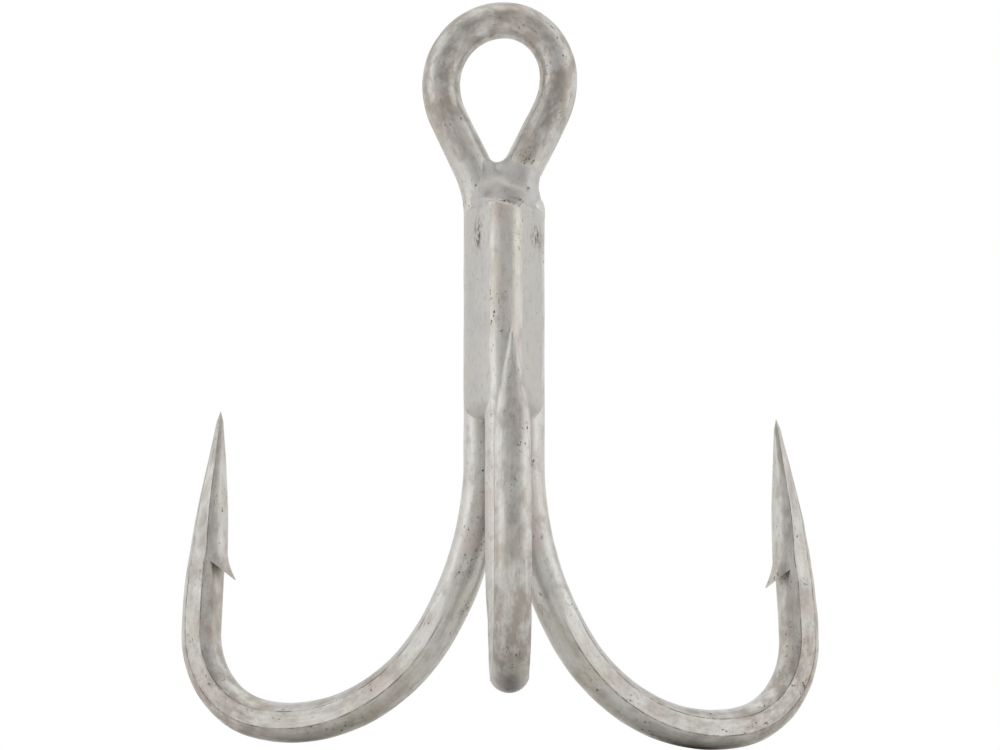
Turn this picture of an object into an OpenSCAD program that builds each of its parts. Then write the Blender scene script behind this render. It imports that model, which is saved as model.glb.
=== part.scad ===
// Treble hook: three forged wire hooks, 120 degrees apart, brazed together along their shanks.
// One of the three wires runs on at the top and is bent round into the line eye.
// Frame: origin at the centre of the eye, +Z up along the shank, +Y along the axis of the eye.
// Each hook is drawn in a plane with X running outwards from the shank and Z up, then turned.

/* [Wire] */
// Diameter of the round wire
wire_d = 2.4; // [2:0.1:2.8]
// How much thinner the wire is drawn where it is bent but not forged
bent_thin = 0.02; // [0.02:0.01:0.06]
// Thickness across the flats forged on each bend and point
forged_t = 2.16; // [1.8:0.02:2.3]
// Film of braze between two shanks
film = 0.03; // [0.02:0.01:0.06]

/* [Bend] */
// Radius where the wire leaves the shank
flare_r = 17.7; // [15:0.1:20]
// Direction of the wire at the end of the flare, in degrees from straight down
flare_end = 36; // [30:1:42]
// Radius of the long lower bend
sweep_r = 11; // [9:0.1:13]
// Direction of the wire at the end of the lower bend
sweep_end = 105; // [95:1:115]
// Radius of the tight outer bend
turn_r = 5.7; // [5:0.1:6.5]
// Lean of the outer leg towards the shank
leg_lean = 3; // [0:0.5:5]

/* [Point] */
// Height of the tip above the lowest point of the bend
tip_h = 20.55; // [18:0.05:23]
// Length of the tapered point
point_l = 8.5; // [7:0.1:10]
// Lean of the tapered point towards the shank
point_lean = 6; // [4:0.5:8]
// Radius of the tip
tip_r = 0.12; // [0.08:0.01:0.2]
// Height of the barb's root above the lowest point of the bend
barb_h = 11.5; // [10.5:0.1:12.5]
// How far the end of the barb stands in from the wire
barb_out = 0.95; // [0.6:0.05:1.1]
// Drop from the barb's root to its end
barb_drop = 1.4; // [1:0.1:1.8]
// Width of the barb
barb_w = 1.3; // [0.8:0.1:1.6]
// Depth of the chisel cut behind the barb
cut_deep = 0.4; // [0.2:0.05:0.6]
// Length of the chisel cut
cut_l = 2.6; // [2:0.1:3.2]

/* [Shank] */
// Height of the eye's centre above the lowest point of the bends
eye_h = 39.5; // [38:0.5:42]
// Height of the plain shank's shouldered top end
shoulder_h = 32.3; // [31.5:0.1:32.6]
// Height of the front shank's slanting top end
front_top_h = 31.6; // [31:0.1:32]
// Slant of the front shank's top end
front_slant = 11; // [0:1:15]
// Length of the shoulder worked on the plain shank's top end
shoulder_l = 1; // [0.6:0.1:1.2]
// Diameter of the shoulder's top face
shoulder_d = 1.44; // [1.2:0.02:1.8]

// How much higher the left hook is seated than the front one
left_rise = 0.15; // [0:0.05:0.3]
// How much lower the right hook is seated than the front one
right_drop = 0.2; // [0:0.05:0.3]

/* [Eye] */
// Radius of the round part of the hole
eye_hole_r = 2.25; // [2:0.05:2.5]
// Diameter of the wire round the eye
eye_wire_d = 2.3; // [2.1:0.05:2.4]
// Slope of the two legs under the eye, from upright
leg_slope = 23; // [20:0.5:25]
// Radius where the leg turns into the shank
throat_r = 3; // [2:0.1:4]
// How far the eye stands to one side of the shank
eye_shift = 0.3; // [0:0.05:0.5]

/* [Braze] */
// Height at which the braze between the shanks ends
braze_bottom_h = 18.7; // [18:0.1:21]
// Radius of the braze between all three shanks
core_r = 0.45; // [0.35:0.01:0.5]
// Fill of the grooves beside the eyed hook, as an angle round the wire
groove_fill = 42; // [36:1:55]
// Fill of the groove that took the most braze
full_fill = 62; // [50:1:70]
// Hollow of the braze's outer face in the two less filled grooves
meniscus = 0.06; // [0.04:0.01:0.1]
// Thickness of the braze that closes the eye
eye_braze_t = 1.7; // [1.2:0.1:2]

/* [Hidden] */
$fn = 64;

wire_r = wire_d / 2;
eye_wire_r = eye_wire_d / 2;
bent_r = (wire_d - bent_thin) / 2;
// Stretches of wire run this far into each other, so that they join into one solid.
lap = 0.06;
// The outer leg is drawn down to this share of its size above the barb, inside the tapered point.
leg_taper = 0.9;
// Depth of the chisel cut where it runs out.
cut_end_deep = 0.04;
// The braze in the front grooves stops this far below the front shank's top end.
front_braze_short = 0.5;
// The braze fills each groove from this angle round the wires, clear of the narrow gap between them.
groove_start = 20;
// The eye's free leg is this much shorter than the one that turns into the shank.
free_leg_short = 0.3;
// Three touching wires have their centres this far from the axis of the shank.
shank_r = (wire_d + film) / sqrt(3);
// The eye lies in the plane of the two rear shanks.
axis_x = eye_shift;
axis_y = -shank_r / 2;
// The lowest point of the bends, and the height where the flare begins.
floor_z = -eye_h;
flare_z = floor_z + wire_r + flare_r * sin(flare_end) + sweep_r * (1 - sin(flare_end));
// The two rear wires stand on either side of the axis, and the third in front.
left_turn = 150;
right_turn = 30;
front_turn = 270;
leg_dir = 180 + leg_lean;
point_dir = 180 + point_lean;

// The wire heads straight down at 0 degrees, outwards at 90 and straight up at 180.
function heading(dir) = [sin(dir), -cos(dir)];
// End of an arc of the given radius that starts at p and turns from dir a to dir b.
function arc_end(p, r, a, b) = p + r * [cos(a) - cos(b), sin(a) - sin(b)];
// Where a straight run from p in direction dir reaches height z.
function reach(p, dir, z) = p + heading(dir) * (z - p[1]) / heading(dir)[1];

flare_from = [shank_r, flare_z];
sweep_from = arc_end(flare_from, flare_r, 0, flare_end);
turn_from = arc_end(sweep_from, sweep_r, flare_end, sweep_end);
leg_from = arc_end(turn_from, turn_r, sweep_end, leg_dir);
barb_root_z = floor_z + barb_h;
leg_at_root = reach(leg_from, leg_dir, barb_root_z);
// The tapered point grows out of the leg just above the barb, set in by the depth of the barb's swell.
point_base_z = floor_z + tip_h - point_l * cos(point_lean);
point_swell = 0.3;
point_base = reach(leg_from, leg_dir, point_base_z) - [point_swell, 0];
inner_edge = leg_at_root[0] - wire_r;
barb_root = [inner_edge + cut_deep, barb_root_z];
barb_tip = [inner_edge - barb_out, barb_root_z - barb_drop];

module round_section() {
    circle(r = bent_r);
}

// Round wire with two flats, drawn thinner by the given amount.
module forged_section(thin) {
    intersection() {
        circle(d = wire_d - thin);
        square([wire_d, forged_t - thin], center = true);
    }
}

// Section swept along an arc in the hook's plane, starting at p and turning from dir a to dir b.
// It runs on by the lap, inside the thicker wire that follows or round the thinner one.
module bend(p, r, a, b) {
    centre = p + r * [cos(a), sin(a)];
    translate([centre[0], 0, centre[1]])
        rotate([90, 0, 0])
            rotate_extrude(angle = b - a + lap / r * 180 / PI, start = a + 180, $fn = 180)
                translate([r, 0])
                    children();
}

// Moves its child so that the child's Z runs from p in direction dir.
module along(p, dir) {
    translate([p[0], 0, p[1]])
        rotate([0, 180 - dir, 0])
            children();
}

module barb() {
    rotate([90, 0, 0])
        linear_extrude(barb_w, center = true)
            polygon([
                barb_tip,
                barb_root,
                barb_root + [wire_r / 2, 0],
                point_base + [0, wire_r / 2],
                point_base - [wire_r - lap / 2, 0]
            ]);
}

module chisel_cut() {
    rotate([90, 0, 0])
        linear_extrude(wire_d * 2, center = true)
            polygon([
                barb_root,
                barb_tip - [wire_r, wire_r],
                barb_tip - [wire_r, cut_l],
                [inner_edge + cut_end_deep, barb_root_z - cut_l]
            ]);
}

// Straight outer leg, tapered point and barb.
module point() {
    leg_l = norm(leg_at_root - leg_from);
    leg_top_l = norm(reach(leg_from, leg_dir, point_base_z) - leg_from);
    difference() {
        intersection() {
            union() {
                along(leg_from, leg_dir)
                    cylinder(r = bent_r - bent_thin / 2, h = leg_l + lap);
                along(leg_from + heading(leg_dir) * leg_l, leg_dir)
                    cylinder(r1 = bent_r, r2 = bent_r * leg_taper, h = leg_top_l - leg_l + point_swell);
                along(point_base, point_dir)
                    cylinder(r1 = wire_r, r2 = tip_r, h = point_l);
            }
            translate([leg_from[0], 0, floor_z + tip_h / 2])
                cube([wire_d * 4, forged_t - 2 * bent_thin, tip_h * 2], center = true);
        }
        chisel_cut();
    }
    barb();
}

// Everything below the straight shank of one hook.
module hook_end() {
    bend(flare_from, flare_r, 0, flare_end)
        round_section();
    bend(sweep_from, sweep_r, flare_end, sweep_end)
        forged_section(0);
    bend(turn_from, turn_r, sweep_end, leg_dir)
        forged_section(bent_thin);
    point();
}

// Straight shank up to a height above the lowest point of the bends.
module shank(top_h) {
    translate([shank_r, 0, flare_z - lap])
        cylinder(d = wire_d, h = floor_z + top_h - flare_z + lap);
}

// Places a hook drawn in its own plane at one of the three positions, seated a little high or low.
module place(turn, rise) {
    translate([axis_x, axis_y, rise])
        rotate([0, 0, turn])
            children();
}

// The eye is drawn in the XZ plane round the origin, on a ring of this radius.
ring_r = eye_hole_r + eye_wire_r;
left_shank_x = axis_x - shank_r * cos(right_turn);
// Lengths of the two straight legs: one turns into the left shank, the other stops in the braze.
eyed_leg_l = (ring_r * cos(leg_slope) + left_shank_x) / sin(leg_slope) - throat_r * tan(leg_slope / 2);
throat_z = -ring_r * sin(leg_slope) - cos(leg_slope) * (eyed_leg_l + throat_r * tan(leg_slope / 2));
free_leg_l = eyed_leg_l - free_leg_short;

module eye_leg(side, length) {
    rotate([0, side * leg_slope, 0])
        translate([side * ring_r, 0, -length - lap])
            cylinder(r1 = wire_r, r2 = eye_wire_r + bent_thin / 2, h = length + 2 * lap);
}

module eye_ring() {
    rotate([90, 0, 0])
        rotate_extrude(angle = 180 + 2 * leg_slope, start = -leg_slope, $fn = 120)
            translate([ring_r, 0])
                circle(r = eye_wire_r);
}

module throat_bend() {
    translate([left_shank_x - throat_r, 0, throat_z - throat_r * tan(leg_slope / 2)])
        rotate([90, 0, 0])
            rotate_extrude(angle = leg_slope, start = 0, $fn = 120)
                translate([throat_r, 0])
                    round_section();
}

module eyed_hook() {
    color("gainsboro") {
        place(left_turn, left_rise) {
            shank(eye_h + throat_z - throat_r * tan(leg_slope / 2) + lap - left_rise);
            hook_end();
        }
        throat_bend();
        eye_leg(-1, eyed_leg_l);
        eye_ring();
        eye_leg(1, free_leg_l);
    }
}

module right_hook() {
    color("gainsboro")
        place(right_turn, -right_drop) {
            shank(shoulder_h - shoulder_l + right_drop);
            translate([shank_r, 0, floor_z + shoulder_h - shoulder_l + right_drop])
                cylinder(d1 = wire_d, d2 = shoulder_d, h = shoulder_l);
            hook_end();
        }
}

module front_hook() {
    color("gainsboro")
        place(front_turn, 0) {
            difference() {
                shank(front_top_h + wire_r);
                translate([shank_r, 0, floor_z + front_top_h])
                    rotate([-front_slant, 0, 0])
                        translate([0, 0, wire_d])
                            cube(wire_d * 2, center = true);
            }
            hook_end();
        }
}

// Section of the three shanks, used to cut the braze to fit between them.
module shank_holes() {
    for (turn = [left_turn, right_turn, front_turn])
        rotate(turn)
            translate([shank_r, 0])
                circle(d = wire_d);
}

// Braze is cast in a groove, so it is a column with the shanks' own section cut out of it.
module braze_column(top_h) {
    translate([axis_x, axis_y, floor_z + braze_bottom_h])
        linear_extrude(top_h - braze_bottom_h)
            difference() {
                children();
                shank_holes();
            }
}

// Outline of the braze in the groove between two shanks, about the turn midway between them.
// It is filled up to an angle round each wire, and the middle of its outer face is set in.
module groove(turn, fill, hollow) {
    gap_mid = shank_r * cos(60);
    half = shank_r * sin(60);
    inner = wire_r * sin(groove_start);
    outer = wire_r * sin(fill);
    reach_y = half - wire_r * cos(fill);
    rotate(turn)
        polygon([
            [gap_mid + inner, -half + wire_r / 2],
            [gap_mid + outer, -reach_y],
            [gap_mid + outer - hollow, -reach_y / 3],
            [gap_mid + outer - hollow, reach_y / 3],
            [gap_mid + outer, reach_y],
            [gap_mid + inner, half - wire_r / 2]
        ]);
}

module braze_core() {
    color("darkgray")
        braze_column(front_top_h - front_braze_short)
            circle(r = core_r);
}

module braze_back() {
    color("darkgray")
        braze_column(shoulder_h - shoulder_l)
            groove(90, groove_fill, meniscus);
}

module braze_front_left() {
    color("darkgray")
        braze_column(front_top_h - front_braze_short)
            groove(210, groove_fill, meniscus);
}

module braze_front_right() {
    color("darkgray")
        braze_column(front_top_h - front_braze_short)
            groove(330, full_fill, 0);
}

// Plug of braze that fills the throat between the eye's free leg, the left shank and the right one.
module eye_braze() {
    clear = 0.02;
    low = floor_z + shoulder_h + clear;
    left = left_shank_x + wire_r + clear;
    bend_z = throat_z + wire_r * tan(leg_slope / 2);
    // Middle of the free leg's end face, and half of that face's width along X and Z.
    end_mid = [ring_r * cos(leg_slope) - (free_leg_l + lap) * sin(leg_slope),
               -ring_r * sin(leg_slope) - (free_leg_l + lap) * cos(leg_slope)];
    across = wire_r * [cos(leg_slope), -sin(leg_slope)];
    lift = clear * [sin(leg_slope), cos(leg_slope)];
    crotch_z = end_mid[1] - across[1] - clear;
    color("darkgray")
        rotate([90, 0, 0])
            linear_extrude(eye_braze_t, center = true)
                polygon([
                    [left, low],
                    [left, bend_z],
                    [left - (crotch_z - bend_z) * tan(leg_slope), crotch_z],
                    end_mid - across - lift,
                    end_mid + across - lift,
                    [(end_mid + across)[0], low]
                ]);
}

eyed_hook();
right_hook();
front_hook();
braze_core();
braze_back();
braze_front_left();
braze_front_right();
eye_braze();
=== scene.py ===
"""A treble hook: three forged wire hooks, brazed together along their shanks.

One of the three wires runs on at the top and is bent round into the line eye. Lengths are in
millimetres until a mesh is made, and +Z runs up the shank. A hook's centreline is drawn in its own
plane, as (distance out from the shank's axis, height), and its heading is an angle: 0 is straight
down, 90 straight out and 180 straight up.
"""

import math

import bpy
import numpy as np
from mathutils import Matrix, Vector


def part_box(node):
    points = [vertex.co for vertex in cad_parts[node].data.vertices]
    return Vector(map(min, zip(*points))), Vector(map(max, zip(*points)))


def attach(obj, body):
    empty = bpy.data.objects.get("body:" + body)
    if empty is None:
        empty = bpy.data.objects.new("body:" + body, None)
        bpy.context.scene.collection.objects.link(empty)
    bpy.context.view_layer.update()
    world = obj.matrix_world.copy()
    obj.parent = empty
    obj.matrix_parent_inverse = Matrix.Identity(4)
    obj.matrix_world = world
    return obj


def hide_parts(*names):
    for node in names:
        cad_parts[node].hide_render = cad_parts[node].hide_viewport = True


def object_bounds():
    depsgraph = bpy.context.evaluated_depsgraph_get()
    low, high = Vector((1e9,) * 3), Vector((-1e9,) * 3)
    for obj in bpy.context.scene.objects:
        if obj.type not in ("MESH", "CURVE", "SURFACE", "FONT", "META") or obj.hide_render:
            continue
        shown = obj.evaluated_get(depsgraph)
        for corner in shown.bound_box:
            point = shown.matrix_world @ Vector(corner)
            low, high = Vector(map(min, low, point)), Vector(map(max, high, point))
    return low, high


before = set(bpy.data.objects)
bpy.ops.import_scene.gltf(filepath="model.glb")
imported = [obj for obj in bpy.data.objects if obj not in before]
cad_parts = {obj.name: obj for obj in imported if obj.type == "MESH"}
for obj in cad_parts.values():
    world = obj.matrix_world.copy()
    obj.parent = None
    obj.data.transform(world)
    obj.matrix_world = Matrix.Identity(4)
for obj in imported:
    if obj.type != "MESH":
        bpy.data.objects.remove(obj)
cad_low, cad_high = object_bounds()
MM = 0.001


def box_mm(node):
    """Lowest and highest corner of a CAD node, in millimetres."""
    low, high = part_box(node)
    return np.array(low) / MM, np.array(high) / MM


# ---------------------------------------------------------------- sizes from the frame

front_low, front_high = box_mm("front_hook")
right_low, right_high = box_mm("right_hook")
eyed_low, _ = box_mm("eyed_hook")
core_low, core_high = box_mm("braze_core")
back_low, back_high = box_mm("braze_back")
front_left_low, _ = box_mm("braze_front_left")
front_right_low, _ = box_mm("braze_front_right")

left_turn, right_turn, front_turn = 150, 30, 270
wire_r = (front_high[0] - front_low[0]) / 2
axis_x = (front_high[0] + front_low[0]) / 2
# The three shanks stand this far from their common axis, just touching.
shank_r = (right_low[0] + wire_r - axis_x) / math.cos(math.radians(right_turn))
axis_y = front_high[1] - wire_r + shank_r

# ---------------------------------------------------------------- sizes of the forging

# The three bends of a hook, as the radius and the degrees turned.
flare_r, flare_turn = 17.7, 36
sweep_r, sweep_turn = 11.0, 69
turn_r, turn_turn = 5.7, 78
# The leg runs straight on from the last bend, and the barb and point are drawn about it.
leg_l = 5.0
# Half thickness across the flats, and the headings between which they are pressed in.
forged_half = 1.085
flats_start, flats_full = math.radians(26), math.radians(36)
# The dark line of painted shade along the flats' edges comes in between these headings.
line_start, line_full = 0.5, 0.63

# The barb's root is this far above the lowest point of the bend, and the tip is above the root.
barb_up, tip_up = 11.35, 9.34
# The barb's outer face leaves the point at this height above the root, and ends at (height, in).
barb_base_up, barb_end = 0.8, (-1.06, 2.2)
barb_half_angle = 48
# The chisel cut, whose floor is this far in from the middle of the wire at the root.
cut_l, cut_floor = 2.6, 0.95
# The plain leg's rows end this far below the root, a little before the cut.
below_root = 3.4

# The eyed wire's neck: it starts to bend this far above the bend's lowest point.
throat_up = 30.98
neck_l, neck_r, neck_turn = 1.2, 7.0, 26
# The eye's legs, and its bends from the left leg over the top to the free leg, as (radius, turn).
left_leg_l, free_leg_l = 3.18, 4.25
eye_bends = [(4.76, 26), (4.14, 45), (3.66, 45), (3.02, 45), (3.7, 45), (5.2, 26)]
# The wire's radius at distances along it from the neck, for a shank of radius 1.2.
eye_wire_at = [0, 7, 10, 14.5, 19, 23, 27]
eye_wire_r = [1.2, 1.15, 1.13, 1.1, 1.07, 1.17, 1.19]
# The eyed wire is straight up to here, just below the throat of the eye.
neck_top = front_low[2] + throat_up - neck_l

# The front wire's top end slants down to the right, and this is its middle.
front_slant = math.tan(math.radians(13))
front_cut = front_high[2] - 0.51


# ---------------------------------------------------------------- curves and sections


def smooth(low, high, value):
    """0 below low, 1 above high, and an S-shaped cubic between them."""
    t = np.clip((value - low) / (high - low), 0, 1)
    return t * t * (3 - 2 * t)


def run(start, heading, stretches, step=0.02, soften=0.6):
    """Centreline in a plane, from (length, turn in degrees) stretches.

    Each stretch has a constant curvature. The curvature is averaged over the softening length on
    either side, summed to give the heading, and the heading is summed to give the place.
    """
    lengths = np.array([length for length, _ in stretches])
    curvature = np.radians([turn for _, turn in stretches]) / lengths
    count = int(round(lengths.sum() / step))
    along = np.linspace(0, lengths.sum(), count + 1)
    stretch = np.searchsorted(np.cumsum(lengths), along, side="right").clip(0, len(lengths) - 1)
    reach = int(round(soften / step))
    window = np.ones(2 * reach + 1) / (2 * reach + 1)
    bend = np.convolve(np.pad(curvature[stretch], reach, mode="edge"), window, "valid")
    gap = along[1] - along[0]
    angle = math.radians(heading) + np.append(0, np.cumsum((bend[1:] + bend[:-1]) / 2)) * gap
    step_out = np.sin((angle[1:] + angle[:-1]) / 2) * gap
    step_up = -np.cos((angle[1:] + angle[:-1]) / 2) * gap
    out = start[0] + np.append(0, np.cumsum(step_out))
    up = start[1] + np.append(0, np.cumsum(step_up))
    return along, out, up, angle


def arc(radius, turn):
    """A stretch that turns through an angle at a radius."""
    return radius * math.radians(abs(turn)), turn


def column_angles():
    """Angles of the columns round a wire, from 0 on the outside of the bend to 180 on the inside.

    They bunch at the edges of the two flats, and are close together where the barb is cut.
    """
    edge = math.degrees(math.acos(math.sqrt(1 - (forged_half / wire_r) ** 2)))
    line = 3.0
    sector = 180 - barb_half_angle
    stops = [
        -sector, edge - 180 - line, edge - 180, edge - 180 + line, -edge - line, -edge, line - edge,
        edge - line, edge, edge + line, 180 - edge - line, 180 - edge, 180 - edge + line, sector,
        sector + 2 * barb_half_angle,
    ]
    counts = [3, 1, 1, 9, 1, 1, 26, 1, 1, 9, 1, 1, 3, 40]
    pieces = [
        np.linspace(a, b, n, endpoint=False) for a, b, n in zip(stops[:-1], stops[1:], counts)
    ]
    phi = np.concatenate(pieces)
    # The second result weights the painted shade along the flats' edges, full on an edge and gone 3
    # degrees from it.
    distance = np.min([np.abs(np.abs((phi + 180) % 360 - 180) - e) for e in (edge, 180 - edge)], 0)
    return np.radians(phi), np.clip(1 - distance / line, 0, 1)


phi, flat_edge_shade = column_angles()


def forged_section(half):
    """Round wire whose sides are cut off flat at a half thickness, which may change row by row."""
    half = np.asarray(half)[:, None]
    return wire_r * np.cos(phi) + 0 * half, np.clip(wire_r * np.sin(phi), -half, half)


def inner_swell(up):
    """Distance in to the inside of the point, which swells above the barb's root and then leans in.

    The swell of 0.21 comes in round the root, and shrinks by 0.045 for each millimetre above it.
    """
    return wire_r + (0.21 - 0.045 * np.maximum(up, 0)) * smooth(-0.8, 0.9, up)


def point_section(up):
    """Section of the point at a height above the barb's root, about the straight leg's centreline.

    The outside falls away at a slope of 0.187 from just under the root. The half width is the
    flats' until it narrows by 0.175 for each millimetre, and the nose runs out to a fine tip over
    the last 0.6. The section is flat-sided below, and an oval by the last half millimetre.
    """
    up = np.asarray(up, float)[:, None]
    left = tip_up - up
    outer = wire_r - 0.187 * np.logaddexp(0, up + 0.9) * smooth(-3.4, -1.5, up)
    inner = inner_swell(up)
    nose = np.clip(left / 0.6, 0, 1) ** 0.85
    corner = 0.08
    taper = 0.055 + 0.175 * left
    half = -corner * np.logaddexp(-forged_half / corner, -taper / corner)
    flatness = 1 + (wire_r / forged_half - 1) * smooth(0.5, 3, left)
    u = (outer - inner) / 2 + (outer + inner) / 2 * nose * np.cos(phi)
    v = half * nose * np.clip(flatness * np.sin(phi), -1, 1)
    return u, v


def barb_and_point():
    """Offsets of the rows from the straight leg to the tip, with the barb raised by a chisel.

    The rows run up the floor of the cut, which deepens evenly to the barb's root; down the barb's
    underside, which is straight from the root to the barb's edge; back up the barb's outer face;
    and on up the point. The barb's outer face is the plain point, moved towards the barb's ridge
    by 1 - q^1.5, where q is the distance from the middle as a share of the barb's half width.
    """
    inside = np.argmin(np.abs(phi - math.pi))
    barb_edge = np.argmin(np.abs(np.degrees(phi) - (180 - barb_half_angle)))
    in_barb = np.abs(phi - math.pi) <= math.radians(barb_half_angle) + 1e-6
    uncut = 9

    def cut(up):
        u, v = point_section(up)
        floor = wire_r - (wire_r - cut_floor) * (1 + up / cut_l)
        floor = np.where(up > -cut_l, floor, uncut)[:, None]
        return np.maximum(u, -floor), v, up[:, None] + 0 * u

    def barb(share):
        up = barb_base_up - (barb_base_up - 0.02) * share
        u, v = point_section(up)
        aside = np.clip(np.abs(v / v[:, [barb_edge]]), 0, 1)
        lift = np.where(in_barb, 1 - aside**1.5, 0)
        root = inner_swell(barb_base_up)
        ridge_up = (barb_base_up + (barb_end[0] - barb_base_up) * share)[:, None]
        ridge_u = -(root + (barb_end[1] - root) * share**1.5)[:, None]
        up = up[:, None]
        return u + lift * (ridge_u - u[:, [inside]]), v, up + lift * (ridge_up - up)

    below = cut(np.linspace(-below_root, -cut_l, 5)[:-1])
    floor = cut(np.linspace(-cut_l, 0, 30))
    face = barb(np.linspace(1, 0, 26))
    share = np.linspace(0, 1, 10)[1:-1, None]
    under = [f[-1:] * (1 - share) + a[:1] * share for f, a in zip(floor, face)]
    rise = tip_up - (tip_up - barb_base_up) * (1 - np.linspace(0, 1, 70)[1:]) ** 1.25
    rise[-1] = tip_up - 0.004
    u, v = point_section(rise)
    above = (u, v, rise[:, None] + 0 * u)
    return [np.concatenate(rows) for rows in zip(below, floor, under, face, above)]


# ---------------------------------------------------------------- wires


def stations(out, up, angle, turn, origin, twist=0):
    """Places, and the unit vectors ahead, outwards and sideways, of a centreline in a turned plane.

    A twist turns the columns, but not the centreline, round a stretch that runs straight down.
    """

    def pointing(degrees):
        turned = np.radians(degrees) + 0 * angle
        return np.stack([np.cos(turned), np.sin(turned), 0 * turned], 1)

    high = np.array([0, 0, 1.0])
    place = np.asarray(origin) + out[:, None] * pointing(turn) + up[:, None] * high
    away = pointing(turn + twist)
    ahead = np.sin(angle)[:, None] * away - np.cos(angle)[:, None] * high
    outer = -np.cos(angle)[:, None] * away - np.sin(angle)[:, None] * high
    return place, ahead, outer, np.cross(ahead, outer)


def unevenness(around, along, seed):
    """Slight waviness left by the rolls and dies: a sum of eight sines of random pitch."""
    rng = np.random.default_rng(seed)
    total = 0
    for _ in range(8):
        lobes = rng.integers(1, 5)
        pitch = rng.uniform(1.6, 7.0)
        total = total + rng.uniform(0.4, 1) * np.sin(
            lobes * around + 2 * math.pi * along / pitch + rng.uniform(0, 2 * math.pi)
        )
    return 0.004 * total


def forged_hook(turn, lowest, top, seed, twist=0, spread=0):
    """Rows of one hook from the top of its straight shank to its tip.

    Returns the points, the distance along the wire, and how strongly the painted shade on the flats'
    edges shows. The columns start at a twist, which is gone by the end of the straight shank. The
    tip may be spread outwards, by an amount that grows with the square of the height above the barb.
    """
    row_gap = 0.22
    depth = flare_r * math.sin(math.radians(flare_turn))
    depth += sweep_r * (1 - math.sin(math.radians(flare_turn)))
    shank_l = top - (lowest + wire_r + depth)
    bends = [arc(flare_r, flare_turn), arc(sweep_r, sweep_turn), arc(turn_r, turn_turn)]
    along, out, up, angle = run((shank_r, top), 0, [(shank_l, 0)] + bends + [(leg_l, 0)])
    up = up + lowest + wire_r - up.min()
    rising = angle > math.pi * 0.9
    root = np.interp(lowest + barb_up, up[rising], along[rising])
    rows = np.linspace(0, root - below_root, int((root - below_root) / row_gap))[:-1]
    out_row, up_row, angle_row = (np.interp(rows, along, a) for a in (out, up, angle))
    half = wire_r - (wire_r - forged_half) * smooth(flats_start, flats_full, angle_row)
    u, v = forged_section(half)
    origin = (axis_x, axis_y, 0)
    eased = twist * (1 - smooth(0, shank_l * 0.9, rows))
    place, ahead, outer, side = stations(out_row, up_row, angle_row, turn, origin, eased)
    body = place[:, None] + u[..., None] * outer[:, None] + v[..., None] * side[:, None]

    point_u, point_v, point_up = barb_and_point()
    point_u = point_u + spread * np.clip(point_up / tip_up, 0, 1) ** 2
    at_root = [np.interp([root], along, a) for a in (out, up, angle)]
    place, ahead, outer, side = stations(*at_root, turn, origin)
    point = place + point_up[..., None] * ahead
    point = point + point_u[..., None] * outer + point_v[..., None] * side
    points = np.concatenate([body, point])
    distance = np.concatenate([rows[:, None] + 0 * u, root + point_up])
    # The painted shade on the flats' edges fades out over the last 5 mm before the tip.
    shown_on_point = smooth(tip_up, tip_up - 5, point_up[:, 0])
    shown = np.concatenate([smooth(line_start, line_full, angle_row), shown_on_point])
    wave = unevenness(phi, distance, seed) * smooth(0, 1.5, root + tip_up - distance)
    middle = points.mean(1, keepdims=True)
    points = points + (points - middle) * (wave / wire_r)[..., None]
    return points, distance, shown[:, None] * flat_edge_shade


def capped_top(points, distance, shown, cap_r, shoulder_l, slant):
    """Adds the sawn and shouldered top end to a shank that starts at its full height.

    Rows within the shoulder draw in from the wire's size to the cap's radius as a quarter of an
    ellipse, and the cap's rows run in to the middle. A slanting cut moves each row up or down in
    proportion to its distance across, which fades out below the shoulder.
    """
    first = points[0]
    middle = first.mean(0)
    down = points[:, 0, 2] - middle[2]
    drawn = wire_r - (wire_r - cap_r) * (1 - np.clip(-down / shoulder_l, 0, 1)) ** 2.2
    flat = points - middle * [1, 1, 0]
    side = np.linalg.norm(flat[0, :, :2], axis=1).mean()
    near = -down < shoulder_l * 1.5
    scale = np.where(near, drawn / side, 1)[:, None, None]
    points = np.concatenate([middle[:2] + flat[..., :2] * scale, points[..., 2:]], 2)
    rings = np.array([0.25, 0.6, 0.86, 0.96, 1.0])
    sunk = np.array([0.03, 0.025, 0.018, 0.006, -0.03])
    ring = middle + (points[0] - middle) * rings[:, None, None]
    ring[..., 2] = middle[2] + sunk[:, None]
    points = np.concatenate([ring, points[1:]])
    lean = slant * (points[..., 0] - middle[0])
    points[..., 2] -= lean * (1 - smooth(0, 2.5, middle[2] - points[..., 2]))
    inwards = np.linspace(1.2, 0.1, len(rings) - 1)[:, None]
    on_cap = np.repeat(distance[:1], len(rings) - 1, 0) - inwards
    return points, np.concatenate([on_cap, distance]), np.concatenate([0 * on_cap, shown])


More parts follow.
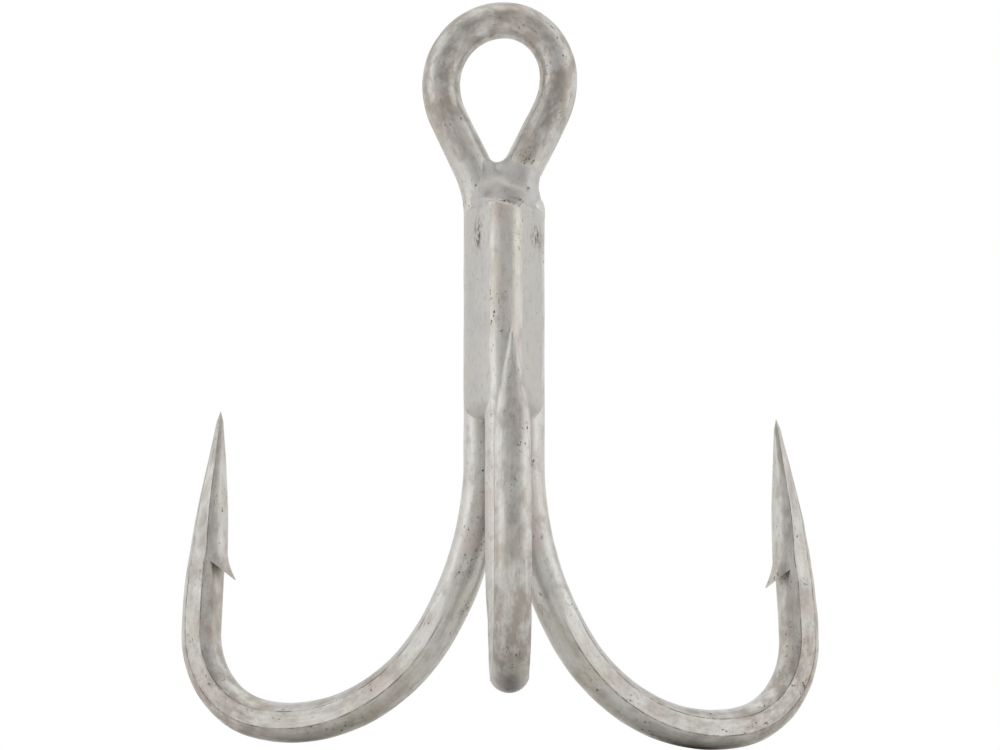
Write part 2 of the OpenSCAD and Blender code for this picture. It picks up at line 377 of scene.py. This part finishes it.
def eye_of_wire():
    """Rows of the wire bent round into the eye, from its free end to the neck under the throat.

    The centreline is drawn upwards from the neck in the plane of the two rear shanks, and read
    backwards. The wire is a little thinner where it was bent hardest, over the top of the eye,
    and its cut end is rounded off over the last rows.
    """
    out_of_eye = -(axis_x + shank_r * math.cos(math.radians(left_turn)))
    bends = [arc(radius, turn) for radius, turn in eye_bends]
    neck = [(neck_l, 0), arc(neck_r, -neck_turn)]
    stretches = neck + [(left_leg_l, 0)] + bends + [(free_leg_l, 0)]
    along, out, up, angle = run((out_of_eye, neck_top), 180, stretches)
    rows = np.linspace(0, along[-1], int(along[-1] / 0.2))
    out, up, angle = (np.interp(rows, along, a) for a in (out, up, angle))
    full = eye_wire_r[0]
    size = np.interp(rows, eye_wire_at + [along[-1]], eye_wire_r + [full])
    size = np.convolve(np.pad(size, 6, mode="edge"), np.ones(13) / 13, "valid")
    size = size * wire_r / full
    rounded = 5
    size[-rounded:] *= np.sqrt(1 - np.linspace(0, 0.93, rounded) ** 2)
    order = slice(None, None, -1)
    place, ahead, outer, side = stations(
        out[order], up[order], angle[order] - math.pi, 180, (0, 0, 0)
    )
    size = size[order, None]
    wave = 1 + unevenness(phi, rows[:, None], seed=9) / wire_r
    u, v = size * wave * np.cos(phi), size * wave * np.sin(phi)
    points = place[:, None] + u[..., None] * outer[:, None] + v[..., None] * side[:, None]
    return points, rows[:, None] + 0 * u


# ---------------------------------------------------------------- braze


def groove_section(lean, sink=0.012, count=22):
    """Closed section of the braze in the groove between two wires, about the line midway.

    The outer face is an arc that touches both wires where their surfaces lean into the groove by
    an angle: its radius is half the wires' spacing over the angle's sine, less the wire's radius.
    A lean below nothing makes the face bulge. The face is moved in by the sink and runs on past
    the wires, so that it dips under them, and the inner side runs back through them, out of sight.
    """
    half = shank_r * math.sin(math.radians(60))
    edge = math.radians(lean)
    centre = half / math.tan(edge)
    radius = half / math.sin(edge) - wire_r
    sweep = np.linspace(-1.06 * edge, 1.06 * edge, count)
    face = np.stack([centre - sink - radius * np.cos(sweep), radius * np.sin(sweep)], 1)
    back_out = 0.16
    back_across = np.linspace(face[-1, 1], face[0, 1], 10)[1:-1]
    back = np.stack([0 * back_across + back_out, back_across], 1)
    return np.concatenate([face, back])


def groove_braze(turn, lean, bottom, top, seed):
    """Braze drawn into a groove by the heat: groove sections stacked up the shank.

    The lean wavers along the groove by two sines, and grows to 70 degrees at the ends, where the
    braze ran out. The sections are closer together at the lower end.
    """
    end_lean = 70
    fine = bottom + np.linspace(0, 1, 14) ** 1.6 * 1.5
    heights = np.concatenate([fine, np.arange(bottom + 1.7, top, 0.25), [top]])
    rng = np.random.default_rng(seed)
    waver = 1.5 * np.sin(heights / 0.9 + rng.uniform(0, 6))
    waver = waver + np.sin(heights / 0.37 + rng.uniform(0, 6))
    lower_end = smooth(-0.15, 1.2, heights - bottom)
    upper_end = smooth(-0.05, 0.75, top - heights)
    leans = end_lean + (lean + waver - end_lean) * np.sqrt(lower_end * upper_end)
    rows = np.stack([groove_section(a) for a in leans])
    out = shank_r * math.cos(math.radians(60)) + rows[..., 0]
    across = rows[..., 1]
    cos, sin = math.cos(math.radians(turn)), math.sin(math.radians(turn))
    x = axis_x + out * cos - across * sin
    y = axis_y + out * sin + across * cos
    return np.stack([x, y, 0 * x + heights[:, None]], 2)


def core_braze(bottom, top):
    """Braze between all three shanks: a column whose ends are rounded off."""
    share = np.linspace(0.02, math.pi - 0.02, 40)
    heights = (bottom + top) / 2 - (top - bottom) / 2 * np.cos(share)
    around = np.linspace(0, 2 * math.pi, 33)[:-1]
    core_r = 0.3
    size = core_r * np.sin(share)[:, None] ** 0.3
    x = axis_x + size * np.cos(around)
    return np.stack([x, axis_y + size * np.sin(around), 0 * x + heights[:, None]], 2)


def soften_edge(outline, count):
    """Radius of a closed outline at even angles round its middle, with its corners rounded off."""
    angle = np.unwrap(np.arctan2(outline[:, 1], outline[:, 0]))
    radius = np.hypot(outline[:, 0], outline[:, 1])
    around = np.linspace(angle[0], angle[0] + 2 * math.pi, count, endpoint=False)
    even = np.interp(around, np.append(angle, angle[0] + 2 * math.pi), np.append(radius, radius[0]))
    window = np.hanning(9) / np.hanning(9).sum()
    return around, np.convolve(np.pad(even, 4, mode="wrap"), window, "valid")


def leg_depth(x, z, foot, slope):
    """How far a leg of wire stands out at a place: its radius less a square and a fourth power."""
    across = (x - foot[0]) * np.cos(slope) - (z - foot[1]) * np.sin(slope)
    return wire_r - 0.03 - across**2 / (2 * wire_r) - 0.25 * across**4 / wire_r**3


def throat_braze():
    """The braze that closes the throat of the eye and flows over the shanks' top ends.

    It is a pillow between two sheets that meet at a rounded outline. A sheet's depth is the smooth
    maximum of the depths of the wires under it and of a web between them, so it lies just under
    a wire's surface and rises into a fillet in each corner. The front sheet also slopes out to the
    edge of the front shank's top end, and to the braze that bulges out of the grooves beside it.
    """
    base = front_low[2]
    # The outline seen from the front, as (x, height above the front bend's lowest point).
    outline = np.array([
        (2.37, 32.65), (2.37, 32.9), (2.42, 33.2), (2.47, 33.5), (2.35, 33.95), (1.85, 34.4),
        (1.2, 34.75), (0.7, 34.85), (0.42, 34.58), (0.27, 34.42), (0.1, 34.32), (-0.19, 34.26),
        (-0.45, 34.32), (-0.62, 34.45), (-0.8, 34.66), (-1.15, 34.85), (-1.6, 34.6), (-1.65, 34.0),
        (-1.75, 33.3), (-1.95, 32.6), (-2.05, 31.6), (-1.8, 30.6), (0.5, 30.0), (2.1, 30.3),
        (2.52, 31.1), (2.58, 31.7), (2.47, 32.2),
    ])
    middle = np.array([0.5, base + 32.6])
    around, edge = soften_edge(outline + (0, base) - middle, 220)
    share = np.sin(np.linspace(0.03, math.pi / 2, 46))[:, None]
    x = middle[0] + np.cos(around) * edge * share
    z = middle[1] + np.sin(around) * edge * share
    up = z - base

    # The left leg bends away at the neck; the free leg and the right shank end under the braze.
    slope = math.radians(neck_turn)
    bend_up = neck_r * math.sin(slope)
    risen = np.clip(up - throat_up, 0, bend_up)
    beyond = np.clip(up - throat_up - bend_up, 0, None)
    left_x = axis_x - wire_r
    left_x = left_x - neck_r + np.sqrt(neck_r**2 - risen**2) - beyond * math.tan(slope)
    left = leg_depth(x, z, (left_x, z), -np.arcsin(risen / neck_r))
    free = leg_depth(x, z, (0.93, base + 32.8), slope) - 0.4 * smooth(32.9, 31.9, up)
    right = leg_depth(x, z, (axis_x + wire_r, base), 0) - 0.5 * smooth(31.8, 33.2, up)
    web = 0.86 + 0 * x

    # The apron follows the front shank's outside and, past 46 degrees, the bulge beside it. Above
    # the shank's top end it falls back towards the web.
    flank_turn = math.radians(46)
    flank_x = wire_r * math.sin(flank_turn)
    aside = np.abs(x - axis_x)
    flank = np.clip(aside - flank_x, 0, None)
    proud = shank_r - axis_y - 0.03 + np.sqrt(wire_r**2 - np.minimum(aside, flank_x) ** 2)
    proud = proud - math.tan(flank_turn) * flank - 0.467 * flank**2
    front_top = front_cut - front_slant * (x - axis_x)
    fall = np.clip((z - front_top) / 2.7, 0, 1)
    apron_back = 0.55
    apron = np.minimum(proud, apron_back + (proud - apron_back) * (1 - fall) ** 1.8)

    def sheet(depths):
        """Smooth maximum, sunk a little towards the outline and closed in a curve at it."""
        soft = 0.19
        over = soft * np.logaddexp.reduce(np.array(depths) / soft, axis=0)
        return np.sqrt(1 - share**8) * (over - 0.1 * smooth(0.5, 0.97, share))

    front = np.stack([x, -sheet([left, free, right, web, apron]), z], 2)
    back = np.stack([x, sheet([left, free, right, web]), z], 2)
    return np.concatenate([front, back[-2::-1]])


# ---------------------------------------------------------------- materials


def colour(code):
    """Linear colour from an sRGB hex value."""
    parts = np.array([int(code[i : i + 2], 16) for i in (1, 3, 5)]) / 255
    linear = np.where(parts <= 0.04045, parts / 12.92, ((parts + 0.055) / 1.055) ** 2.4)
    return (*linear, 1)


def node(tree, kind, inputs=None, **settings):
    """Adds a node with its settings, and gives each input a value or a link."""
    made = tree.nodes.new("ShaderNode" + kind)
    for name, value in settings.items():
        setattr(made, name, value)
    for key, value in (inputs or {}).items():
        if isinstance(value, bpy.types.NodeSocket):
            tree.links.new(value, made.inputs[key])
        else:
            made.inputs[key].default_value = value
    return made


def metal(name, roughness):
    """A metal with nothing on it yet, and its nodes and shader."""
    material = bpy.data.materials.new(name)
    material.use_nodes = True
    tree = material.node_tree
    shader = tree.nodes["Principled BSDF"]
    shader.inputs["Metallic"].default_value = 1.0
    shader.inputs["Roughness"].default_value = roughness
    return material, tree, shader


def lay_tin(tree, place, patterns, shades, layers):
    """Colour of a thin coat of tin with tarnish, pits and stains laid over it, one after another.

    A pattern is noise, given by its features to the millimetre in each direction of the place, its
    detail and its roughness. The first pattern runs through the shades, which are (value, colour).
    A layer is a colour, and what is multiplied to give its share: marks that are kept on the mesh,
    and patterns with the values where they start and are full, and their least and most share.
    Returns the colour, and the patterns and the layers' shares by name.
    """
    found = {}
    for name, (per_mm, detail, rough) in patterns.items():
        spread = node(tree, "VectorMath", {0: place, 1: per_mm}, operation="MULTIPLY").outputs[0]
        look = {"Vector": spread, "Scale": 1.0, "Detail": detail, "Roughness": rough}
        found[name] = node(tree, "TexNoise", look).outputs["Fac"]

    ground = node(tree, "ValToRGB", {"Fac": found[next(iter(patterns))]})
    ground.color_ramp.elements.new(0.5)
    for element, (value, code) in zip(ground.color_ramp.elements, shades):
        element.position = value
        element.color = colour(code)
    base = ground.outputs["Color"]

    for name, (code, parts) in layers.items():
        values = []
        for pattern, *limits in parts:
            if not limits:
                mark = node(tree, "Attribute", attribute_name=pattern)
                values.append(mark.outputs["Fac"])
                continue
            ends = dict(zip(("From Min", "From Max", "To Min", "To Max"), limits))
            ends["Value"] = found[pattern]
            climb = node(tree, "MapRange", ends, interpolation_type="SMOOTHSTEP")
            values.append(climb.outputs["Result"])
        share = values[0]
        for value in values[1:]:
            share = node(tree, "Math", {0: share, 1: value}, operation="MULTIPLY").outputs[0]
        laid = node(tree, "Mix", {0: share, 6: base, 7: colour(code)}, data_type="RGBA")
        base, found[name] = laid.outputs[2], share
    return base, found


def tin_plated_steel():
    """Tin-plated steel wire, drawn, bent and pressed flat between dies.

    The drawn wire gives long fine lines along its length, and the thin tin a soft satin sheen with
    patches of pinkish and olive tarnish. A dark broken line of painted shade runs along each flat's
    edge.
    """
    material, tree, shader = metal("tin-plated steel", 0.42)
    # Round and round the wire, then along it. The real lines and grain are some ten times finer,
    # and are drawn as coarse as they need to show.
    place = node(tree, "Attribute", attribute_name="run").outputs["Vector"]
    patterns = {
        "drawn_lines": ((7, 7, 0.22), 3, 0.6),
        "grain": ((9, 9, 4), 3, 0.65),
        "pink_patches": ((0.5, 0.5, 0.3), 4, 0.6),
        "olive_patches": ((0.7, 0.7, 0.35), 3, 0.6),
        "clouds": ((1.3, 1.3, 0.8), 5, 0.65),
        "specks": ((5.5, 5.5, 4), 2, 0.6),
        "gatherings": ((0.8, 0.8, 0.45), 2, 0.5),
        "breaks": ((1.5, 1.5, 1.1), 4, 0.7),
        "streaks": ((5, 5, 1.3), 3, 0.7),
    }
    shades = [(0.25, "#b5b4b0"), (0.5, "#bebdb9"), (0.75, "#c7c6c2")]
    layers = {
        "pink_tarnish": ("#bcafa8", [("pink_patches", 0.44, 0.66, 0, 0.55)]),
        "olive_tarnish": ("#b0ac9b", [("olive_patches", 0.5, 0.7, 0, 0.5)]),
        "grey_tarnish": ("#8f8b83", [("clouds", 0.5, 0.7, 0, 0.5)]),
        "darker_patches": ("#958e86", [("darkened",), ("clouds", 0.38, 0.6, 0.1, 0.8)]),
        "fine_grain": ("#8d8a84", [("grain", 0.52, 0.75, 0, 0.4)]),
        "pits": ("#5f5a52", [("specks", 0.6, 0.7, 0, 1), ("gatherings", 0.5, 0.62, 0, 1)]),
        # Painted shade: a dark broken line along each flat's edge, at the crease between flat and
        # round wire.
        "crease_shade": ("#5f5a52", [("flat_edge_shade",), ("breaks", 0.4, 0.58, 0.3, 1)]),
        # The flux layer is flux stain, and also the painted shade of the crack above the front
        # shank's top end.
        "flux": ("#5e5a52", [("stain_and_crack_shade",), ("streaks", 0.38, 0.62, 0, 1)]),
    }
    base, found = lay_tin(tree, place, patterns, shades, layers)
    tree.links.new(base, shader.inputs["Base Color"])

    satin = {"Value": found["pink_patches"], "From Min": 0.3, "From Max": 0.75}
    satin.update({"To Min": 0.36, "To Max": 0.52})
    rough = node(tree, "MapRange", satin, interpolation_type="SMOOTHSTEP")
    tree.links.new(rough.outputs["Result"], shader.inputs["Roughness"])

    height = node(tree, "Math", {0: found["drawn_lines"], 1: found["grain"]}, operation="ADD")
    pitted = {0: height.outputs[0], 1: found["pits"]}
    height = node(tree, "Math", pitted, operation="SUBTRACT").outputs[0]
    bump = node(tree, "Bump", {"Height": height, "Strength": 0.6, "Distance": 0.008 * MM})
    tree.links.new(bump.outputs[0], shader.inputs["Normal"])
    return material


def plated_braze():
    """Brass braze under the same thin tin, smooth, dull and mottled, because it flowed while hot."""
    material, tree, shader = metal("tin-plated braze", 0.5)
    metres = node(tree, "TexCoord").outputs["Object"]
    to_mm = (1 / MM,) * 3
    place = node(tree, "VectorMath", {0: metres, 1: to_mm}, operation="MULTIPLY").outputs[0]
    # The grain is drawn some five times coarser than a real skin of tin has, so that it shows.
    patterns = {
        "mottle": ((0.8, 0.8, 0.48), 4, 0.6),
        "grain": ((5.2, 5.2, 2.6), 3, 0.6),
        "pores": ((4.68, 4.68, 4.68), 2, 0.6),
    }
    shades = [(0.3, "#a8a6a3"), (0.5, "#b4b2af"), (0.7, "#bbb7b2")]
    layers = {
        "fine_grain": ("#8d8a84", [("grain", 0.5, 0.75, 0, 0.4)]),
        "pits": ("#5f5a52", [("pores", 0.69, 0.76, 0, 0.8)]),
        # The flux layer is flux stain, and also the painted shade of the crack above the front
        # shank's top end.
        "flux": ("#5e5a52", [("stain_and_crack_shade",), ("grain", 0.38, 0.62, 0, 1)]),
    }
    base, found = lay_tin(tree, place, patterns, shades, layers)
    tree.links.new(base, shader.inputs["Base Color"])

    dull = {"Value": found["mottle"], "From Min": 0.3, "From Max": 0.75}
    dull.update({"To Min": 0.42, "To Max": 0.58})
    rough = node(tree, "MapRange", dull, interpolation_type="SMOOTHSTEP")
    tree.links.new(rough.outputs["Result"], shader.inputs["Roughness"])
    bump = node(
        tree, "Bump", {"Height": found["grain"], "Strength": 0.6, "Distance": 0.01 * MM}
    )
    tree.links.new(bump.outputs[0], shader.inputs["Normal"])
    return material


# ---------------------------------------------------------------- meshes


def closed_tube(name, points, material, replaced, marks):
    """A mesh from rows of points, closed round its columns and by a pole at the middle of each end.

    Its faces are turned outwards by the sign of the volume that they enclose. The marks are kept
    as attributes of its points.
    """
    rows, columns = points.shape[:2]
    ends = np.stack([points[0].mean(0), points[-1].mean(0)])
    vertices = np.concatenate([points.reshape(-1, 3), ends])
    index = np.arange(rows * columns).reshape(rows, columns)
    beside = np.roll(index, -1, axis=1)
    quads = np.stack([index[:-1], beside[:-1], beside[1:], index[1:]], 2).reshape(-1, 4)
    first = np.stack([beside[0], index[0], 0 * index[0] + rows * columns], 1)
    last = np.stack([index[-1], beside[-1], 0 * index[-1] + rows * columns + 1], 1)
    a, b, c, d = (vertices[quads[:, i]] for i in range(4))
    volume = np.einsum("ij,ij->i", a - ends[0], np.cross(c - a, d - b)).sum()
    if volume < 0:
        quads, first, last = quads[:, ::-1], first[:, ::-1], last[:, ::-1]

    mesh = bpy.data.meshes.new(name)
    faces = quads.tolist() + first.tolist() + last.tolist()
    mesh.from_pydata((vertices * MM).tolist(), [], faces)
    for key, value in marks.items():
        value = value.reshape(rows * columns, -1)
        value = np.concatenate([value, value[[0, -1]]])
        kind, field = ("FLOAT_VECTOR", "vector") if value.shape[1] == 3 else ("FLOAT", "value")
        layer = mesh.attributes.new(key, kind, "POINT")
        layer.data.foreach_set(field, np.ascontiguousarray(value, np.float32).ravel())
    mesh.shade_smooth()
    mesh.set_sharp_from_angle(angle=math.radians(32))
    mesh.materials.append(material)

    piece = bpy.data.objects.new(name, mesh)
    bpy.context.scene.collection.objects.link(piece)
    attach(piece, "root")
    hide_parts(replaced)


def stains_and_crack_shade(points):
    """Dark flux marks on the fronts of the shanks, and a dark line at the crack above the front
    shank's top end, partly flux stain and partly painted shade of the crack.

    A mark is an oval bell of (x, z, half width, half height). The crack follows the slanting end.
    """
    flux_marks = [
        (-1.3, -10.0, 0.16, 0.7), (2.22, -10.05, 0.26, 0.5), (1.72, -7.0, 0.06, 0.07),
        (1.1, -7.9, 0.2, 0.12), (0.9, -9.6, 0.08, 0.2), (-2.2, -7.9, 0.1, 0.12),
        (0.55, -17.0, 0.13, 0.8),
    ]
    x, y, z = np.moveaxis(points, 2, 0)
    flux = sum(np.exp(-(((x - a) / w) ** 2) - ((z - b) / h) ** 2) for a, b, w, h in flux_marks)
    below_cut = front_cut - front_slant * (x - axis_x) - z
    # Painted shade of the crack along the front shank's slanting top end, which the mesh leaves
    # closed; flux stain lies there too.
    crack_stain_and_shade = np.exp(-((below_cut / 0.08) ** 2) - ((x - 0.4) / 0.42) ** 2)
    return (np.clip(flux * 1.6, 0, 1) + 2 * crack_stain_and_shade) * (y < 0)


def wire_piece(name, points, distance, shown, replaced, pattern_shift=0):
    """One wire, with its place round and along the wire kept for the drawn lines.

    The tin is darker in cloudy patches over the eye, at the bottoms of the bends and on the points.
    The pattern is shifted along the wire, so that no two wires look the same.
    """
    around = wire_r * np.stack([np.cos(phi) + 0 * distance, np.sin(phi) + 0 * distance], 2)
    run_place = np.concatenate([around, distance[..., None] + pattern_shift], 2)
    x, y, z = np.moveaxis(points, 2, 0)
    outside = np.hypot(x - axis_x, y - axis_y)
    darkened = smooth(-5.6, -3.2, z) + 0.5 * smooth(-31, -36, z) + 0.5 * smooth(15, 17.5, outside)
    marks = {
        "run": run_place,
        "flat_edge_shade": shown,
        "stain_and_crack_shade": stains_and_crack_shade(points),
        "darkened": np.clip(darkened, 0, 1),
    }
    closed_tube(name, points, steel, replaced, marks)


def braze_piece(name, points, replaced):
    """One run of braze, with its share of the dark flux marks and of the painted shade of the crack.
    """
    closed_tube(name, points, braze, replaced, {"stain_and_crack_shade": stains_and_crack_shade(points)})


steel = tin_plated_steel()
braze = plated_braze()

front = forged_hook(front_turn, front_low[2], front_cut, seed=3)
front_rows = capped_top(*front, cap_r=1.06, shoulder_l=0.25, slant=front_slant)
wire_piece("front_wire", *front_rows, "front_hook", pattern_shift=300)

right = forged_hook(right_turn, right_low[2], right_high[2], seed=5)
right_rows = capped_top(*right, cap_r=0.7, shoulder_l=1.0, slant=0)
wire_piece("right_wire", *right_rows, "right_hook", pattern_shift=600)

# The eye's rows run on into the left hook's, which start with the eye's columns.
eye_points, eye_distance = eye_of_wire()
left_points, left_distance, left_shown = forged_hook(
    left_turn, eyed_low[2], neck_top, seed=7, twist=180 - left_turn, spread=0.24
)
wire_piece(
    "eyed_wire",
    np.concatenate([eye_points, left_points[1:]]),
    np.concatenate([eye_distance, left_distance[1:] + eye_distance.max()]),
    np.concatenate([0 * eye_distance, left_shown[1:]]),
    "eyed_hook",
)

# The rear groove's braze is thin. In the two grooves beside the front shank it bulges, starts a
# little lower, and ends with the shank.
lower, beside_top = 0.45, front_cut + 0.4
back_rows = groove_braze(90, 42, back_low[2], back_high[2] + 0.7, seed=0)
front_left_rows = groove_braze(210, -19, front_left_low[2] - lower, beside_top, seed=1)
front_right_rows = groove_braze(330, -9, front_right_low[2] - lower, beside_top, seed=2)
braze_piece("core_fill", core_braze(core_low[2], core_high[2]), "braze_core")
braze_piece("back_fill", back_rows, "braze_back")
braze_piece("front_left_fill", front_left_rows, "braze_front_left")
braze_piece("front_right_fill", front_right_rows, "braze_front_right")
braze_piece("throat_fill", throat_braze(), "eye_braze")

# ---------------------------------------------------------------- floor, light and camera

centre = (Vector(cad_low) + Vector(cad_high)) / 2


def pale_floor():
    """A wide flat floor that touches the lowest bend. Its underside lets everything through."""
    half = 1.6
    corners = [(-half, -half), (half, -half), (half, half), (-half, half)]
    mesh = bpy.data.meshes.new("floor")
    mesh.from_pydata([(x, y, cad_low[2]) for x, y in corners], [], [(0, 1, 2, 3)])
    material = bpy.data.materials.new("pale paper")
    material.use_nodes = True
    tree = material.node_tree
    paper = tree.nodes["Principled BSDF"]
    paper.inputs["Base Color"].default_value = colour("#f2f1ef")
    paper.inputs["Roughness"].default_value = 0.9
    under = node(tree, "NewGeometry").outputs["Backfacing"]
    clear = node(tree, "BsdfTransparent").outputs[0]
    both = node(tree, "MixShader", {0: under, 1: paper.outputs[0], 2: clear})
    tree.links.new(both.outputs[0], tree.nodes["Material Output"].inputs["Surface"])
    mesh.materials.append(material)
    floor = bpy.data.objects.new("floor", mesh)
    bpy.context.scene.collection.objects.link(floor)


def light_tent():
    """White all round, and dimmer towards the open front, so that a wire's middle is darker."""
    world = bpy.data.worlds.new("light tent")
    bpy.context.scene.world = world
    world.use_nodes = True
    tree = world.node_tree
    toward = node(tree, "TexCoord").outputs["Generated"]
    front = node(tree, "VectorMath", {0: toward, 1: (0, -1, 0)}, operation="DOT_PRODUCT")
    dimming = {"Value": front.outputs["Value"], "From Min": 0.2, "From Max": 0.92}
    dimming.update({"To Min": 1.2, "To Max": 0.6})
    tent = node(tree, "MapRange", dimming, interpolation_type="SMOOTHSTEP").outputs["Result"]
    seen = node(tree, "LightPath").outputs["Is Camera Ray"]
    strength = node(tree, "Mix", {0: seen, 2: tent, 3: 1.0}, data_type="FLOAT").outputs[0]
    background = tree.nodes["Background"]
    background.inputs["Color"].default_value = (1, 1, 1, 1)
    tree.links.new(strength, background.inputs["Strength"])


def soft_box(name, place):
    """A square area light aimed at the middle of the object, at a place from it in metres."""
    light = bpy.data.lights.new(name, "AREA")
    light.size = 0.3
    light.energy = 0.14
    lamp = bpy.data.objects.new(name, light)
    lamp.location = centre + Vector(place)
    lamp.rotation_mode = "QUATERNION"
    lamp.rotation_quaternion = (-Vector(place)).to_track_quat("-Z", "Y")
    bpy.context.scene.collection.objects.link(lamp)


def camera():
    """Long lens, nearly square on to the front, from a little below the middle of the shank."""
    azimuth, elevation = math.radians(-1.335), math.radians(-10.77)
    distance = 663
    middle_of_hook = Vector((axis_x, axis_y, -17.82))
    aim_aside, aim_up = -0.26, -0.45

    back = Vector((
        math.sin(azimuth) * math.cos(elevation),
        -math.cos(azimuth) * math.cos(elevation),
        math.sin(elevation),
    ))
    turn = (-back).to_track_quat("-Z", "Y")
    aim = middle_of_hook + turn @ Vector((aim_aside, aim_up, 0))
    data = bpy.data.cameras.new("camera")
    data.lens, data.sensor_width = 401, 36
    data.clip_start, data.clip_end = 0.05, 10
    made = bpy.data.objects.new("camera", data)
    made.rotation_mode = "QUATERNION"
    made.rotation_quaternion = turn
    made.location = (aim + back * distance) * MM
    bpy.context.scene.collection.objects.link(made)
    bpy.context.scene.camera = made


pale_floor()
light_tent()
soft_box("left box", (-0.35, -0.12, 0.1))
soft_box("right box", (0.35, -0.12, 0.1))
soft_box("top box", (0, -0.05, 0.4))
camera()
bpy.context.scene.view_settings.view_transform = "Standard"
